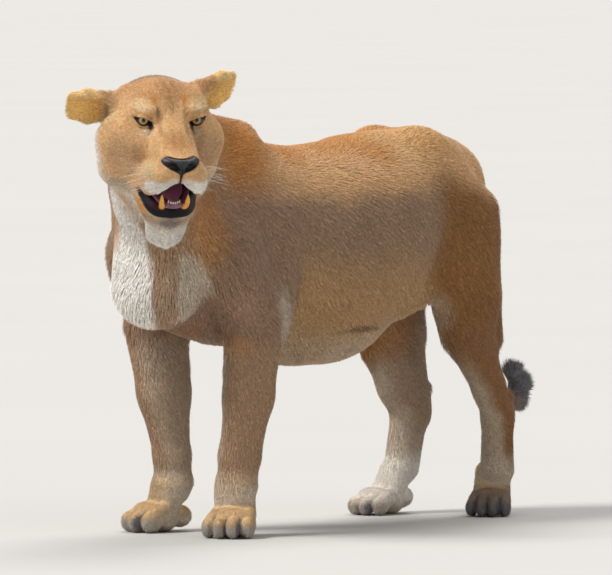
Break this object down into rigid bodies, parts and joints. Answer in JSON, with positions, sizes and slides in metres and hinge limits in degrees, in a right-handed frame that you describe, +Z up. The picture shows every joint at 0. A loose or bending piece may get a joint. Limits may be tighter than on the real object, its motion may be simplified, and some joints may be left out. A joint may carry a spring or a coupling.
{
  "type": "lioness",
  "caption": "Life-size still model of a standing lioness, head turned to her left and mouth open, one hind paw a step ahead.",
  "frame": {"origin": "on the floor, under the middle of the bounding box", "axes": "+Z up, the lioness faces -Y and her left side is towards +X"},
  "size_m": [0.5466, 1.6488, 1.0935],
  "materials": {
    "coat": "short golden tan fur lying flat",
    "pale_coat": "short pale buff fur",
    "tuft": "long blackish brown hair",
    "nose": "dark, finely pebbled and slightly moist",
    "eye": "wet and clear over an amber iris",
    "tongue": "moist, rough with small papillae"
  },
  "bodies": {
    "root": {"barrel": "coat", "chest": "coat", "ear_left": "coat", "ear_right": "coat", "eye_left": "eye", "eye_right": "eye", "forearm_left": "coat", "forearm_right": "coat", "forepaw_left": "pale_coat", "forepaw_right": "pale_coat", "head": "coat", "hind_foot_left": "coat", "hind_foot_right": "coat", "hindpaw_left": "pale_coat", "hindpaw_right": "pale_coat", "jaw": "pale_coat", "neck": "coat", "nose": "nose", "rump": "coat", "shank_left": "coat", "shank_right": "coat", "tail_base": "coat", "tail_end": "coat", "tail_middle": "coat", "tail_tuft": "tuft", "thigh_left": "coat", "thigh_right": "coat", "tongue": "tongue", "upper_arm_left": "coat", "upper_arm_right": "coat"}
  },
  "joints": []
}
